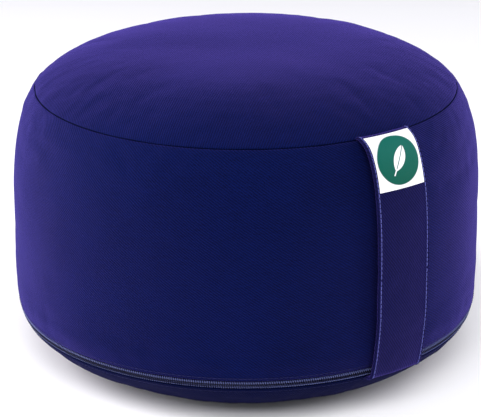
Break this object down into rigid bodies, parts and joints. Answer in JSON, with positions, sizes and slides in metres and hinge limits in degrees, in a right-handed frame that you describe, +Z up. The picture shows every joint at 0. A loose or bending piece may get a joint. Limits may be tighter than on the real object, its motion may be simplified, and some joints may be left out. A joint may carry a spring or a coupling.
{
  "type": "floor cushion",
  "caption": "Round zafu-style floor cushion: crowned twill cover with an exposed zip round its lower edge and a wide carry strap, over a zipped liner filled with hulls.",
  "frame": {"origin": "centre of the flat on which the cushion rests, on the axis of the round body", "axes": "+Z up out of the top panel; the carry strap is at the front, towards -Y; the cover's side join is at the back, towards +Y; the cover zip's closed end and slider are at the back left, towards +Y and -X"},
  "size_m": [0.306, 0.3144, 0.204],
  "materials": {
    "cover_twill": "matte cotton twill, indigo",
    "strap_twill": "matte cotton twill, indigo, folded",
    "indigo_thread": "polyester sewing thread",
    "strap_thread": "polyester topstitch thread, lighter blue",
    "white_thread": "polyester sewing thread, white",
    "label_satin": "woven satin label, white with a green disc",
    "zip_tape": "woven polyester tape",
    "zip_coil": "nylon coil, satin",
    "zip_metal": "plated, satin",
    "muslin": "unbleached cotton muslin",
    "muslin_thread": "cotton thread",
    "liner_zip_tape": "woven polyester tape, off-white",
    "liner_zip_coil": "nylon coil, off-white",
    "buckwheat_hulls": "loose dry hulls, matte"
  },
  "bodies": {
    "cushion": {"cover_top_panel": "cover_twill", "cover_side_panel": "cover_twill", "cover_base_panel": "cover_twill", "cover_top_seam_overlock": "indigo_thread", "cover_base_seam_thread": "indigo_thread", "cover_side_join_thread": "indigo_thread", "zip_tape_upper": "zip_tape", "zip_tape_lower": "zip_tape", "zip_coil_upper": "zip_coil", "zip_coil_lower": "zip_coil", "zip_tape_stitching": "indigo_thread", "zip_end_stops": "zip_metal", "handle_upper_end": "strap_twill", "handle_lower_end": "strap_twill", "handle_end_stitching": "strap_thread", "woven_label": "label_satin", "label_stitching": "white_thread", "liner_top_panel": "muslin", "liner_side_panel": "muslin", "liner_base_panel": "muslin", "liner_seam_threads": "muslin_thread", "liner_zip_tapes": "liner_zip_tape", "liner_zip_coils": "liner_zip_coil", "liner_zip_stops": "zip_metal", "buckwheat_fill": "buckwheat_hulls"},
    "zip_slider": {"zip_slider": "zip_metal"},
    "zip_pull": {"zip_pull_tab": "zip_metal"},
    "handle": {"handle_grip": "strap_twill", "handle_grip_stitching": "strap_thread"},
    "liner_slider": {"liner_zip_slider": "zip_metal"},
    "liner_pull": {"liner_zip_pull_tab": "zip_metal"}
  },
  "joints": [
    {"name": "cover_zip_run", "type": "hinge", "parent": "cushion", "child": "zip_slider", "pos_m": [0, 0, 0.0305], "axis": [0, 0, 1], "range_deg": [0, 290]},
    {"name": "cover_zip_pull_turn", "type": "hinge", "parent": "zip_slider", "child": "zip_pull", "pos_m": [-0.08736, 0.12476, 0.03015], "axis": [-0.1509, 0.2155, 0.9648], "range_deg": [-175, 0]},
    {"name": "strap_bow", "type": "slide", "parent": "cushion", "child": "handle", "axis": [0, -1, 0], "range_m": [0, 0.015]},
    {"name": "liner_zip_run", "type": "hinge", "parent": "cushion", "child": "liner_slider", "pos_m": [0, 0, 0.112], "axis": [0, 0, 1], "range_deg": [0, 75]},
    {"name": "liner_zip_pull_turn", "type": "hinge", "parent": "liner_slider", "child": "liner_pull", "pos_m": [-0.1179, 0.09047, 0.112], "axis": [0, 0, 1], "range_deg": [-10, 0]}
  ]
}
